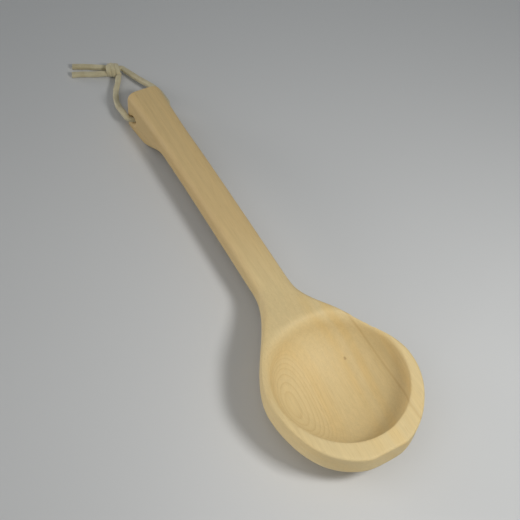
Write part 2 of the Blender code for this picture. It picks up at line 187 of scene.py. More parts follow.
# Bowl, inside
OPENING_WIDTH = 0.0900
OPENING_LENGTH = 0.0925
BOWL_DEPTH = 0.031
FRONT_RIM_WIDTH = 0.0118
HOLLOW_FULLNESS = 2.0
LIP_AT_HANDLE = 0.0085
LIP_AT_SIDES = 0.0034
LIP_AT_TIP = 0.0006
LIP_NARROWS_OVER = 0.6

# Neck
NECK_LENGTH = 0.089
OUTLINE_SKEW = 0.0045
SKEW_ENDS_BEFORE_TIP = 0.014
NECK_RISE_LENGTH = 0.058
NECK_RISE_INTO_BOWL = 0.012
UNDER_NECK_FILLET = 0.014

# Handle
HANDLE_WIDTH = 0.0256
HANDLE_BOW = 0.0007
HEEL_LEAN = 0.0005
HANDLE_THICKNESS = 0.0170
HANDLE_TOP = 0.0298
HANDLE_TOP_EDGE_RADIUS = 0.0058
HANDLE_UNDER_EDGE_RADIUS = 0.0058

# Heel
HEEL_TOP_WIDTH = 0.0278
HEEL_BOTTOM_WIDTH = 0.0332
HEEL_HEIGHT = 0.0292
HEEL_FOOT_LENGTH = 0.028
HEEL_FILLET_LENGTH = 0.037
HEEL_TAPER_LENGTH = 0.062
HEEL_UNDER_EDGE_RADIUS = 0.0026
HEEL_UNDERCUT = 0.0045
END_CORNER_RADIUS = 0.0042
END_EDGE_RADIUS = 0.0036
FOOT_PLANED_OFF = 0.0008

# Fineness of the carved wood, and how far it is sanded
END_CORNER_STEPS = 10
TOP_STEPS = 6
CORNER_STEPS = 8
SIDE_STEPS = 8
LOWER_STEPS = 26
HANDLE_STATION_STEP = 0.0025
BOWL_STATION_STEP = 0.0016
TIP_STATIONS = 40
HOLLOW_ROUND_STEPS = 160
HOLLOW_DEPTH_STEPS = 48
LIP_STEPS = 14
HOLE_ROUND_STEPS = 48
OVERCUT = 0.004
WOOD_VOXEL = 0.00085
WELD_DISTANCE = 0.000001
SANDING_FACTOR = 0.5
SANDING_PASSES = 4
SOFT_LIP_PASSES = 90
SOFT_LIP_REACH = 0.22
SOFT_LIP_DROP = 0.014
SOFT_LIP_FULL_BEFORE = -0.55
SOFT_LIP_FADES_OVER = 0.9
LEAST_WEIGHT = 0.01

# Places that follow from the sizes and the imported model
wood_low, wood_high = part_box("ladle_body")
END_X = wood_low.x
TIP_X = wood_high.x
RIM_HEIGHT = wood_high.z
BOWL_RADIUS = BOWL_WIDTH / 2
OPENING_RADIUS = OPENING_WIDTH / 2
FRONT_REACH = WIDEST_TO_TIP / math.sqrt(1.0 - (TIP_FLAT_WIDTH / BOWL_WIDTH) ** 2)
KEEL_DEPTH = WALL_UPRIGHT_FROM / math.sqrt(1.0 - (FOOT_WIDTH / BOWL_WIDTH) ** 2)
KEEL_TIP_RISE = (WALL_UPRIGHT_FROM - TIP_FACE_BOTTOM) / KEEL_DEPTH
KEEL_REACH = WIDEST_TO_TIP / math.sqrt(1.0 - KEEL_TIP_RISE**2)
BOWL_X = TIP_X - WIDEST_TO_TIP
OPENING_X = TIP_X - FRONT_RIM_WIDTH - OPENING_LENGTH / 2
NECK_X = BOWL_X - NECK_LENGTH
NECK_RISE_X = OPENING_X - OPENING_LENGTH / 2 + NECK_RISE_INTO_BOWL - NECK_RISE_LENGTH
HOLE_X = END_X + HOLE_FROM_END
HOLE_SHARE = 1.0 - HOLE_Z / HEEL_HEIGHT
HOLE_SIDE = (HEEL_TOP_WIDTH + (HEEL_BOTTOM_WIDTH - HEEL_TOP_WIDTH) * HOLE_SHARE) / 2
KNOT_ROTATION = Matrix.Rotation(math.radians(KNOT_TURN), 3, "Z")
UP = Vector((0.0, 0.0, 1.0))

# How the tree grew: its rings lie round a line along the ladle, below the near wall, and lean
# across the bowl. One ring is darker, one small branch shows as a pin knot, and the grain shows
# most round the middle of the clear grain. Scales are in waves a metre.
PITH = (0.0, -0.0485, -0.0122)
RING_WIDTH = 0.00169
RING_WANDER = 0.0012
SLOW_WANDER_SCALE = 38.0
QUICK_WANDER_SCALE = 210.0
QUICK_WANDER_SHARE = 0.22
YEARLY_SCALE = 260.0
BAND_SCALE = 95.0
GRAIN_STRETCH = (0.22, 1.0, 1.0)
GRAIN_LEAN = 0.13
GRAIN_LEAN_X = 0.110
GRAIN_LEAN_REACH = 0.045
LATE_WOOD_SHARPNESS = 4.0
LATE_WOOD_ENDS = 0.90
PALEST_YEAR = 0.45
STRONG_RING = 0.0924
STRONG_RING_STRENGTH = 0.34
STRONG_RING_CORE = 0.0002
STRONG_RING_EDGE = 0.0011
PIN_KNOT = (0.1027, 0.0194, 0.0147)
PIN_KNOT_RADIUS = 0.0013
SPOT_LENGTH = 1.3
SPOT_RAGGED_SCALE = 900.0
PIN_KNOT_STRENGTH = 0.55
CLEAR_GRAIN = (0.1183, -0.0309, 0.0151)
CLEAR_GRAIN_REACH = 0.041
CLEAR_GRAIN_STRENGTH = 0.78
PLAIN_GRAIN_STRENGTH = 0.10

# Finish of the wood, the leather and the floor
WOOD_PATCH_SIZE = 0.035
WOOD_SPECULAR = 0.35
WOOD_SMOOTHEST = 0.56
WOOD_ROUGHEST = 0.68
LATE_WOOD_SMOOTHER = 0.06
WOOD_RELIEF = 0.00009
WOOD_RELIEF_STRENGTH = 0.6
FIBRE_FINENESS = 2100.0
FIBRE_STRETCH = 0.03
BROAD_STREAK_SHARE = 0.22
PORE_SHARE = 1.7
STREAK_STRENGTH = 0.03
PORE_STRENGTH = 0.35
# Painted shade: the inside of the hole through the heel is darkened round its middle, out to so many hole
# radii.
BORE_SHADE_STRENGTH = 0.5
BORE_SHADE_REACH = 1.9
# Painted shade: the handle's wood is tinted darker and warmer than the bowl's, for the light that falls
# off along the handle. The tint is full up to the first x and gone from the second.
HANDLE_SHADE_FULL_TO = -0.03
HANDLE_SHADE_GONE_FROM = 0.05
LEATHER_PATCH_SIZE = 0.008
LEATHER_SPECULAR = 0.25
LEATHER_SHEEN = 0.25
LEATHER_SHEEN_ROUGHNESS = 0.6
LEATHER_SMOOTHEST = 0.78
LEATHER_ROUGHEST = 0.92
LEATHER_RELIEF = 0.00008
CUT_LEATHER_RELIEF = 0.00014
LEATHER_RELIEF_STRENGTH = 0.8
PEBBLE_SIZE = 0.0007
LEATHER_FIBRE_SIZE = 0.00016
FLOOR_SPECULAR = 0.2
FLOOR_ROUGHNESS = 0.9
FLOOR_TONE_SCALE = 3.0
FLOOR_DARKEST_TONE = 0.98


def linear(red, green, blue):
    """A colour written as on a screen, 0 to 255, as the light values that a shader takes."""
    values = []
    for value in (red, green, blue):
        share = value / 255.0
        values.append(share / 12.92 if share <= 0.04045 else ((share + 0.055) / 1.055) ** 2.4)
    return (*values, 1.0)


# Colours
EARLY_WOOD = linear(213, 191, 142)
LATE_WOOD = linear(182, 149, 97)
WARM_WOOD = linear(214, 184, 124)
PIN_KNOT_WOOD = linear(140, 104, 62)
# Painted shade deep inside the hole through the heel.
BORE_SHADE_WOOD = linear(150, 118, 74)
# Painted shade: the tint that makes the handle's wood darker and warmer than the bowl's.
HANDLE_SHADE_TINT = (0.95, 0.89, 0.83, 1.0)
LEATHER = linear(206, 197, 163)
LEATHER_DARK = linear(178, 163, 124)
LEATHER_CUT = linear(214, 203, 172)
FLOOR = linear(206, 207, 208)
SKY = linear(236, 238, 240)


def ease(share):
    """A smooth step from 0 to 1."""
    share = min(max(share, 0.0), 1.0)
    return share * share * (3.0 - 2.0 * share)


def between(first, last, share):
    return first + (last - first) * ease(share)


# Camera


def make_camera():
    camera = bpy.data.cameras.new("camera")
    camera.lens = CAMERA_LENS
    camera.sensor_width = SENSOR_WIDTH
    item = bpy.data.objects.new("camera", camera)
    item.location = CAMERA_PLACE
    item.rotation_euler = Euler([math.radians(angle) for angle in CAMERA_TURN])
    bpy.context.scene.collection.objects.link(item)
    bpy.context.scene.camera = item


# Building blocks for materials


def add(tree, kind, **settings):
    node = tree.nodes.new(kind)
    for name, value in settings.items():
        setattr(node, name, value)
    return node


def feed(tree, socket, source):
    """Give a socket a plain value, or link it to another node's output."""
    if isinstance(source, bpy.types.NodeSocket):
        tree.links.new(source, socket)
    else:
        socket.default_value = source


def maths(tree, operation, *sources):
    node = add(tree, "ShaderNodeMath", operation=operation)
    for socket, source in zip(node.inputs, sources):
        feed(tree, socket, source)
    return node.outputs[0]


def vector_maths(tree, operation, *sources):
    node = add(tree, "ShaderNodeVectorMath", operation=operation)
    for socket, source in zip(node.inputs, sources):
        feed(tree, socket, source)
    return node.outputs["Value" if operation == "LENGTH" else "Vector"]


def noise(tree, place, scale, detail=2.0, roughness=0.5, dimensions="3D"):
    node = add(tree, "ShaderNodeTexNoise", noise_dimensions=dimensions)
    feed(tree, node.inputs["W" if dimensions == "1D" else "Vector"], place)
    feed(tree, node.inputs["Scale"], scale)
    feed(tree, node.inputs["Detail"], detail)
    feed(tree, node.inputs["Roughness"], roughness)
    return node.outputs[0]


def ramp(tree, value, low, high, to_low=0.0, to_high=1.0, smooth=True):
    """Spread the values between low and high over another span, held at its ends."""
    node = add(tree, "ShaderNodeMapRange", interpolation_type="SMOOTHSTEP" if smooth else "LINEAR")
    for socket, source in zip(node.inputs, (value, low, high, to_low, to_high)):
        feed(tree, socket, source)
    return node.outputs[0]


def mix_colour(tree, share, first, second, blend="MIX"):
    node = add(tree, "ShaderNodeMix", data_type="RGBA", blend_type=blend)
    feed(tree, node.inputs[0], share)
    feed(tree, node.inputs[6], first)
    feed(tree, node.inputs[7], second)
    return node.outputs[2]


def new_group(name, inputs, outputs):
    """An empty node group with named sockets: inputs are (name, kind, value), outputs (name, kind)."""
    group = bpy.data.node_groups.new(name, "ShaderNodeTree")
    for socket_name, kind, value in inputs:
        socket = group.interface.new_socket(socket_name, in_out="INPUT", socket_type=kind)
        socket.default_value = value
    for socket_name, kind in outputs:
        group.interface.new_socket(socket_name, in_out="OUTPUT", socket_type=kind)
    return group, add(group, "NodeGroupInput").outputs, add(group, "NodeGroupOutput").inputs


def use(tree, group, **values):
    """Place a group in a material. A value's name is its socket's name, with _ for a space."""
    node = add(tree, "ShaderNodeGroup", node_tree=group)
    for name, value in values.items():
        feed(tree, node.inputs[name.replace("_", " ")], value)
    return node.outputs


def make_growth_rings():
    """Rings of the tree round its pith: where the late wood is, each band's tone, and the one
    dark line, which keeps its own radius and doesn't lean with the others."""
    group, given, made = new_group(
        "growth_rings",
        [("Place", "NodeSocketVector", (0.0, 0.0, 0.0)), ("Pith", "NodeSocketVector", PITH),
         ("Ring Width", "NodeSocketFloat", RING_WIDTH), ("Wander", "NodeSocketFloat", RING_WANDER),
         ("Strong Ring", "NodeSocketFloat", STRONG_RING)],
        [("Late Wood", "NodeSocketFloat"), ("Band Tone", "NodeSocketFloat"),
         ("Strong Line", "NodeSocketFloat")])
    along = vector_maths(group, "MULTIPLY", given["Place"], GRAIN_STRETCH)
    slow = maths(group, "SUBTRACT", noise(group, along, SLOW_WANDER_SCALE, 1.5), 0.5)
    quick = maths(group, "SUBTRACT", noise(group, along, QUICK_WANDER_SCALE, 2.0), 0.5)
    drift = maths(group, "MULTIPLY", slow, given["Wander"])
    quick_wander = maths(group, "MULTIPLY", given["Wander"], QUICK_WANDER_SHARE)
    drift = maths(group, "MULTIPLY_ADD", quick, quick_wander, drift)
    from_pith = vector_maths(group, "SUBTRACT", given["Place"], given["Pith"])
    from_pith = vector_maths(group, "MULTIPLY", from_pith, (0.0, 1.0, 1.0))
    line_radius = maths(group, "ADD", vector_maths(group, "LENGTH", from_pith), drift)
    split = add(group, "ShaderNodeSeparateXYZ")
    feed(group, split.inputs[0], given["Place"])
    most = GRAIN_LEAN * GRAIN_LEAN_REACH
    lean = ramp(group, split.outputs["X"], GRAIN_LEAN_X - GRAIN_LEAN_REACH,
                GRAIN_LEAN_X + GRAIN_LEAN_REACH, -most, most, smooth=False)
    shift = add(group, "ShaderNodeCombineXYZ")
    feed(group, shift.inputs["Y"], lean)
    radius = vector_maths(group, "LENGTH", vector_maths(group, "ADD", from_pith, shift.outputs[0]))
    radius = maths(group, "ADD", radius, drift)
    yearly = noise(group, radius, YEARLY_SCALE, 1.0, dimensions="1D")
    yearly = maths(group, "SUBTRACT", yearly, 0.5)
    grown = maths(group, "MULTIPLY_ADD", yearly, given["Ring Width"], radius)
    turns = maths(group, "DIVIDE", grown, given["Ring Width"])
    year = maths(group, "FLOOR", turns)
    season = maths(group, "FRACT", turns)
    rise = maths(group, "POWER", season, LATE_WOOD_SHARPNESS)
    fall = ramp(group, season, LATE_WOOD_ENDS, 1.0, 1.0, 0.0)
    strength = add(group, "ShaderNodeTexWhiteNoise", noise_dimensions="1D")
    feed(group, strength.inputs["W"], year)
    strength = ramp(group, strength.outputs["Value"], 0.0, 1.0, PALEST_YEAR, 1.0, smooth=False)
    late = maths(group, "MULTIPLY", maths(group, "MULTIPLY", rise, fall), strength)
    feed(group, made["Late Wood"], late)
    feed(group, made["Band Tone"], noise(group, radius, BAND_SCALE, 1.0, dimensions="1D"))
    off_line = maths(group, "ABSOLUTE", maths(group, "SUBTRACT", line_radius, given["Strong Ring"]))
    line = ramp(group, off_line, STRONG_RING_CORE, STRONG_RING_EDGE, 1.0, 0.0)
    feed(group, made["Strong Line"], line)
    return group


def make_fibres():
    """Fibres along the grain: fine streaks, broad streaks, and short open pores."""
    group, given, made = new_group(
        "fibres",
        [("Place", "NodeSocketVector", (0.0, 0.0, 0.0)), ("Fineness", "NodeSocketFloat", FIBRE_FINENESS),
         ("Stretch", "NodeSocketFloat", FIBRE_STRETCH)],
        [("Fine", "NodeSocketFloat"), ("Broad", "NodeSocketFloat"), ("Pores", "NodeSocketFloat")])
    squeeze = add(group, "ShaderNodeCombineXYZ")
    feed(group, squeeze.inputs["X"], given["Stretch"])
    feed(group, squeeze.inputs["Y"], 1.0)
    feed(group, squeeze.inputs["Z"], 1.0)
    along = vector_maths(group, "MULTIPLY", given["Place"], squeeze.outputs[0])
    feed(group, made["Fine"], noise(group, along, given["Fineness"], 2.0, 0.6))
    broad_scale = maths(group, "MULTIPLY", given["Fineness"], BROAD_STREAK_SHARE)
    feed(group, made["Broad"], noise(group, along, broad_scale, 3.0))
    dots = noise(group, along, maths(group, "MULTIPLY", given["Fineness"], PORE_SHARE), 0.0)
    feed(group, made["Pores"], ramp(group, dots, 0.70, 0.80))
    return group


def make_spot():
    """A soft-edged spot at one place, drawn out along the grain."""
    group, given, made = new_group(
        "spot",
        [("Place", "NodeSocketVector", (0.0, 0.0, 0.0)), ("Centre", "NodeSocketVector", (0.0, 0.0, 0.0)),
         ("Radius", "NodeSocketFloat", 0.001), ("Length", "NodeSocketFloat", 1.0),
         ("Ragged", "NodeSocketFloat", 1.0)],
        [("Mask", "NodeSocketFloat")])
    away = vector_maths(group, "SUBTRACT", given["Place"], given["Centre"])
    shape = add(group, "ShaderNodeCombineXYZ")
    feed(group, shape.inputs["X"], maths(group, "DIVIDE", 1.0, given["Length"]))
    feed(group, shape.inputs["Y"], 1.0)
    feed(group, shape.inputs["Z"], 1.0)
    distance = vector_maths(group, "LENGTH", vector_maths(group, "MULTIPLY", away, shape.outputs[0]))
    ragged = maths(group, "SUBTRACT", noise(group, given["Place"], SPOT_RAGGED_SCALE, 2.0), 0.5)
    ragged = maths(group, "MULTIPLY", ragged, given["Ragged"])
    distance = maths(group, "MULTIPLY_ADD", ragged, given["Radius"], distance)
    share = maths(group, "DIVIDE", distance, given["Radius"])
    feed(group, made["Mask"], ramp(group, share, 0.35, 1.0, 1.0, 0.0))
    return group


def make_drift():
    """Slow change of tone over a surface, as from handling and drying."""
    group, given, made = new_group(
        "tone_drift",
        [("Place", "NodeSocketVector", (0.0, 0.0, 0.0)), ("Patch Size", "NodeSocketFloat", 0.03)],
        [("Tone", "NodeSocketFloat")])
    scale = maths(group, "DIVIDE", 1.0, given["Patch Size"])
    feed(group, made["Tone"], noise(group, given["Place"], scale, 3.0))
    return group


def make_hide():
    """Leather: the pebbles of its grain side, the loose fibres of its flesh side, and its relief."""
    group, given, made = new_group(
        "hide",
        [("Place", "NodeSocketVector", (0.0, 0.0, 0.0)), ("Pebble Size", "NodeSocketFloat", PEBBLE_SIZE),
         ("Fibre Size", "NodeSocketFloat", LEATHER_FIBRE_SIZE)],
        [("Pebbles", "NodeSocketFloat"), ("Fibres", "NodeSocketFloat"), ("Relief", "NodeSocketFloat")])
    cells = add(group, "ShaderNodeTexVoronoi", feature="F1")
    feed(group, cells.inputs["Vector"], given["Place"])
    feed(group, cells.inputs["Scale"], maths(group, "DIVIDE", 1.0, given["Pebble Size"]))
    fibre_scale = maths(group, "DIVIDE", 1.0, given["Fibre Size"])
    fibres = noise(group, given["Place"], fibre_scale, 4.0, 0.65)
    feed(group, made["Pebbles"], cells.outputs["Distance"])
    feed(group, made["Fibres"], fibres)
    fuzz = maths(group, "MULTIPLY", fibres, 0.8)
    relief = maths(group, "MULTIPLY_ADD", cells.outputs["Distance"], -0.6, fuzz)
    feed(group, made["Relief"], relief)
    return group


def new_material(name, specular):
    """A material with its shader, and the place on the piece, in metres, for its textures."""
    material = bpy.data.materials.new(name)
    material.use_nodes = True
    tree = material.node_tree
    shader = tree.nodes["Principled BSDF"]
    shader.inputs["Specular IOR Level"].default_value = specular
    place = add(tree, "ShaderNodeTexCoord").outputs["Object"]
    return material, tree, shader, place


def add_bump(tree, shader, height, distance, strength):
    bump = add(tree, "ShaderNodeBump")
    feed(tree, bump.inputs["Height"], height)
    bump.inputs["Distance"].default_value = distance
    bump.inputs["Strength"].default_value = strength
    feed(tree, shader.inputs["Normal"], bump.outputs["Normal"])


def make_wood(groups):
    """Pale, bare, sanded wood, cut through the rings of the tree wherever it was carved."""
    material, tree, shader, place = new_material("bare_wood", WOOD_SPECULAR)
    rings = use(tree, groups["rings"], Place=place)
    fibres = use(tree, groups["fibres"], Place=place)
    drift = use(tree, groups["drift"], Place=place, Patch_Size=WOOD_PATCH_SIZE)
    pin = use(tree, groups["spot"], Place=place, Centre=PIN_KNOT, Radius=PIN_KNOT_RADIUS,
              Length=SPOT_LENGTH)
    # Painted shade: a soft spot round the middle of the hole darkens the bore's inside.
    bore_shade = use(tree, groups["spot"], Place=place, Centre=(HOLE_X, 0.0, HOLE_Z),
               Radius=HOLE_RADIUS * BORE_SHADE_REACH)
    warm = ramp(tree, rings["Band Tone"], 0.40, 0.72)
    warm = maths(tree, "MULTIPLY", warm, ramp(tree, drift["Tone"], 0.3, 0.7, 0.2, 0.6))
    colour = mix_colour(tree, warm, EARLY_WOOD, WARM_WOOD)
    marked = use(tree, groups["spot"], Place=place, Centre=CLEAR_GRAIN, Radius=CLEAR_GRAIN_REACH,
                 Length=SPOT_LENGTH, Ragged=0.0)
    clear = ramp(tree, marked["Mask"], 0.0, 1.0, PLAIN_GRAIN_STRENGTH, CLEAR_GRAIN_STRENGTH, smooth=False)
    late = maths(tree, "MULTIPLY", rings["Late Wood"], clear)
    strong = maths(tree, "MULTIPLY", rings["Strong Line"], STRONG_RING_STRENGTH)
    colour = mix_colour(tree, maths(tree, "MAXIMUM", late, strong), colour, LATE_WOOD)
    broad, fine = [ramp(tree, fibres[kind], 0.3, 0.7, -STREAK_STRENGTH, STREAK_STRENGTH)
                   for kind in ("Broad", "Fine")]
    streak = maths(tree, "ADD", broad, fine)
    bright = add(tree, "ShaderNodeHueSaturation")
    feed(tree, bright.inputs["Value"], maths(tree, "ADD", streak, 1.0))
    feed(tree, bright.inputs["Color"], colour)
    colour = bright.outputs[0]
    # Darker pores, the pin knot, and painted shade inside the bore.
    for mask, strength, mark in ((fibres["Pores"], PORE_STRENGTH, LATE_WOOD),
                                 (pin["Mask"], PIN_KNOT_STRENGTH, PIN_KNOT_WOOD),
                                 (bore_shade["Mask"], BORE_SHADE_STRENGTH, BORE_SHADE_WOOD)):
        colour = mix_colour(tree, maths(tree, "MULTIPLY", mask, strength), colour, mark)
    along = add(tree, "ShaderNodeSeparateXYZ")
    feed(tree, along.inputs[0], place)
    # Painted shade: the handle's colour is multiplied darker and warmer than the bowl's, for the light
    # that falls off along it.
    handle_shade = ramp(tree, along.outputs["X"], HANDLE_SHADE_FULL_TO, HANDLE_SHADE_GONE_FROM, 1.0, 0.0)
    colour = mix_colour(tree, handle_shade, colour, HANDLE_SHADE_TINT, "MULTIPLY")
    feed(tree, shader.inputs["Base Color"], colour)
    rough = ramp(tree, fibres["Broad"], 0.2, 0.8, WOOD_SMOOTHEST, WOOD_ROUGHEST)
    rough = maths(tree, "MULTIPLY_ADD", rings["Late Wood"], -LATE_WOOD_SMOOTHER, rough)
    feed(tree, shader.inputs["Roughness"], rough)
    height = maths(tree, "MULTIPLY_ADD", rings["Late Wood"], 0.35, fibres["Fine"])
    height = maths(tree, "MULTIPLY_ADD", fibres["Broad"], 0.8, height)
    height = maths(tree, "MULTIPLY_ADD", fibres["Pores"], -0.5, height)
    add_bump(tree, shader, height, WOOD_RELIEF, WOOD_RELIEF_STRENGTH)
    return material


def make_leather(groups, name, colour, dark, relief):
    """Pale natural leather with a dry, slightly fuzzy surface."""
    material, tree, shader, place = new_material(name, LEATHER_SPECULAR)
    shader.inputs["Sheen Weight"].default_value = LEATHER_SHEEN
    shader.inputs["Sheen Roughness"].default_value = LEATHER_SHEEN_ROUGHNESS
    hide = use(tree, groups["hide"], Place=place)
    drift = use(tree, groups["drift"], Place=place, Patch_Size=LEATHER_PATCH_SIZE)
    worn = ramp(tree, drift["Tone"], 0.35, 0.7, 0.0, 0.45)
    # The valleys between the pebbles are painted darker: painted shade in the hollows of the grain. The
    # slow drift on top of it is wear.
    shade = maths(tree, "MULTIPLY_ADD", hide["Pebbles"], 0.35, worn)
    tone = mix_colour(tree, shade, colour, dark)
    fleck = ramp(tree, hide["Fibres"], 0.45, 0.75, 0.0, 0.3)
    feed(tree, shader.inputs["Base Color"], mix_colour(tree, fleck, tone, LEATHER_CUT))
    rough = ramp(tree, hide["Fibres"], 0.3, 0.7, LEATHER_SMOOTHEST, LEATHER_ROUGHEST)
    feed(tree, shader.inputs["Roughness"], rough)
    add_bump(tree, shader, hide["Relief"], relief, LEATHER_RELIEF_STRENGTH)
    return material


# Building blocks for meshes


def join_rows(form, rows):
    """Faces between each closed row of points and the next."""
    for row, next_row in zip(rows, rows[1:]):
        for index in range(len(row)):
            after = (index + 1) % len(row)
            form.faces.new((row[index], row[after], next_row[after], next_row[index]))


def finish_form(name, form):
    """An object of the form, with its faces turned outwards."""
    bmesh.ops.recalc_face_normals(form, faces=form.faces)
    mesh = bpy.data.meshes.new(name)
    form.to_mesh(mesh)
    form.free()
    item = bpy.data.objects.new(name, mesh)
    bpy.context.scene.collection.objects.link(item)
    return item


# Lace


def smooth_route(points):
    """Even, fine steps along a smooth curve through the points, its ends kept."""
    points = [Vector(point) for point in points]
    padded = [points[0] * 2 - points[1]] + points + [points[-1] * 2 - points[-2]]
    fine = []
    for before, first, second, after in zip(padded, padded[1:], padded[2:], padded[3:]):
        for part in range(CURVE_PARTS):
            t = part / CURVE_PARTS
            fine.append(0.5 * (2 * first + (second - before) * t
                               + (2 * before - 5 * first + 4 * second - after) * t**2
                               + (3 * first - before - 3 * second + after) * t**3))
    fine.append(points[-1])
    lengths = [0.0]
    for first, second in zip(fine, fine[1:]):
        lengths.append(lengths[-1] + (second - first).length)
    count = max(round(lengths[-1] / LACE_FINE_STEP), 2)
    route = []
    place = 0
    for index in range(count + 1):
        target = lengths[-1] * index / count
        while place < len(fine) - 2 and lengths[place + 1] < target:
            place += 1
        share = (target - lengths[place]) / (lengths[place + 1] - lengths[place])
        route.append(fine[place].lerp(fine[place + 1], share))
    return route


def knot_place(point):
    """A point of the knot's own frame, in the ladle's frame."""
    return KNOT_ROTATION @ Vector(point) + Vector((*KNOT_CENTRE, 0.0))


def knot_port(port, turn):
    """Where a strand meets the knot: its end point and the point straight out from it."""
    end = knot_place(port)
    outward = Matrix.Rotation(math.radians(turn), 3, "Z") @ Vector((1.0, 0.0, 0.0))
    return [end, end + outward * LACE_DIAMETER]


def mouth_bend(side):
    """The quarter turn from beside the heel into the hole, on the left (1) or right (-1)."""
    mouth = HOLE_SIDE - HOLE_MOUTH_DEPTH
    middle = middle_line(HOLE_X)
    points = []
    for step in range(BEND_STEPS + 1):
        angle = math.radians(90.0 * step / BEND_STEPS)
        x = HOLE_X - LACE_BEND_RADIUS * (1.0 - math.sin(angle))
        points.append((x, middle + side * (mouth + LACE_BEND_RADIUS * math.cos(angle)), HOLE_Z))
    points += [(HOLE_X, middle + side * mouth / 2, HOLE_Z), (HOLE_X, middle, HOLE_Z)]
    return points


def lace_section():
    """The lace's cross-section: nearly square, as it was cut from the hide, its corners worn round."""
    across = LACE_WIDTH / 2 - LACE_CORNER
    up = LACE_THICKNESS / 2 - LACE_CORNER
    points = []
    for corner, (side, rise) in enumerate(((1, 1), (-1, 1), (-1, -1), (1, -1))):
        for step in range(LACE_CORNER_STEPS + 1):
            angle = math.radians(90.0 * (corner + step / LACE_CORNER_STEPS))
            points.append((side * across + LACE_CORNER * math.cos(angle),
                           rise * up + LACE_CORNER * math.sin(angle)))
    return points


def heading(route, index):
    """The direction of a route at one of its points."""
    return (route[min(index + 1, len(route) - 1)] - route[max(index - 1, 0)]).normalized()


def level_frames(route):
    """For each point of a route that runs nearly level: its direction, sideways and up."""
    frames = []
    for index in range(len(route)):
        ahead = heading(route, index)
        sideways = UP.cross(ahead).normalized()
        frames.append((ahead, sideways, ahead.cross(sideways)))
    return frames


def wave(along, size, quickness, start):
    """Unevenness along the lace, at a way along it in millimetres, so many radians to each."""
    return size * math.sin(along * quickness + start)


def sweep_lace(name, route, frames, materials, seed, knot_at, cut_end=False):
    """A length of lace along a route, a little uneven, with a cut face at the end that shows.

    In its hole, just outside it and near the knot, the lace is squeezed. knot_at is the index
    of the route's end at the knot, or "all" for a length inside the knot."""
    form = bmesh.new()
    section = lace_section()
    rows = []
    for index, (point, (ahead, sideways, up)) in enumerate(zip(route, frames)):
        along = index * LACE_FINE_STEP * 1000.0
        loose = 0.0
        if knot_at != "all":
            loose = ease((point - route[knot_at]).length / KNOT_EASE)
        wider = wave(along, LACE_UNEVEN_WIDTH, 0.55, seed) + wave(along, LACE_RIPPLE, 1.7, seed * 2)
        thicker = wave(along, LACE_UNEVEN_THICKNESS, 0.8, seed * 3)
        wide = between(KNOT_SQUEEZED, 1.0, loose) + wider * loose
        thick = between(KNOT_SQUEEZED, 1.0, loose) + thicker * loose
        in_hole = between(LACE_SQUEEZED, 1.0, (HOLE_X - point.x) / LACE_BEND_RADIUS)
        wide *= in_hole
        thick *= in_hole
        roll = wave(along, math.radians(LACE_ROLL), 0.23, seed) * loose
        row = []
        for across, rise in section:
            side = across * wide * math.cos(roll) - rise * thick * math.sin(roll)
            lift = across * wide * math.sin(roll) + rise * thick * math.cos(roll)
            row.append(form.verts.new(point + sideways * side + up * lift))
        rows.append(row)
    join_rows(form, rows)
    form.faces.new(rows[0])
    last = form.faces.new(rows[-1])
    if cut_end:
        inset = bmesh.ops.inset_region(form, faces=[last], thickness=CUT_RIM_WIDTH, depth=CUT_RIM_RISE)
        for part in [last, *inset["faces"]]:
            part.material_index = 1
    item = finish_form(name, form)
    item.data.shade_smooth()
    item.data.set_sharp_from_angle(angle=math.radians(LACE_SHARP_ANGLE))
    for material in materials:
        item.data.materials.append(material)
    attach(item, "lace")
    return item


def knot_frames(route):
    """Frames whose up points away from the knot's middle line, and straight up at the ends."""
    axis = KNOT_ROTATION @ Vector((1.0, 0.0, 0.0))
    middle = Vector((*KNOT_CENTRE, KNOT_MIDDLE_HEIGHT))
    frames = []
    for index, point in enumerate(route):
        ahead = heading(route, index)
        away = point - middle
        away = (away - axis * away.dot(axis)).normalized()
        inside = min(index, len(route) - 1 - index) * LACE_FINE_STEP / LACE_WIDTH
        up = UP.lerp(away, ease(inside))
        sideways = up.cross(ahead).normalized()
        frames.append((ahead, sideways, ahead.cross(sideways)))
    return frames


def make_knot(materials):
    """The right strand's turns, the left strand through them and the part that lies beside it."""
    turns = []
    count = round(KNOT_TURNS * KNOT_TURN_STEPS)
    for step in range(1, count + 1):
        angle = 2.0 * math.pi * step / KNOT_TURN_STEPS
        across = -KNOT_HALF_WIDTH * math.cos(angle)
        along = KNOT_TURNS_START - KNOT_TURN_WIDTH * angle / (2.0 * math.pi) - KNOT_TURN_LEAN * across
        turns.append((along, across, KNOT_MIDDLE_HEIGHT + KNOT_HALF_HEIGHT * math.sin(angle)))
    into = []
    for port, turn in ((RIGHT_PORT, RIGHT_PORT_TURN), (LEFT_TAIL_PORT, TAIL_PORT_TURN),
                       (LEFT_PORT, LEFT_PORT_TURN), (RIGHT_TAIL_PORT, TAIL_PORT_TURN)):
        end, outside = knot_port(port, turn)
        into.append([end.lerp(outside, KNOT_OVERLAP / LACE_DIAMETER), end])
    right_in, left_out, left_in, right_out = into
    coil = [*right_in, *map(knot_place, (*turns, *KNOT_TURNS_END)), *left_out[::-1]]
    core = [*left_in, *map(knot_place, KNOT_CORE), *right_out[::-1]]
    filling = list(map(knot_place, KNOT_FILLING))
    pieces = []
    for name, points, way, seed in (("knot_turns", coil, knot_frames, 2.0),
                                    ("knot_core", core, level_frames, 4.0),
                                    ("knot_filling", filling, level_frames, 6.0)):
        route = smooth_route(points)
        piece = sweep_lace(name, route, way(route), materials, seed, "all")
        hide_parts("lace_knot")
        pieces.append(piece)
    return pieces


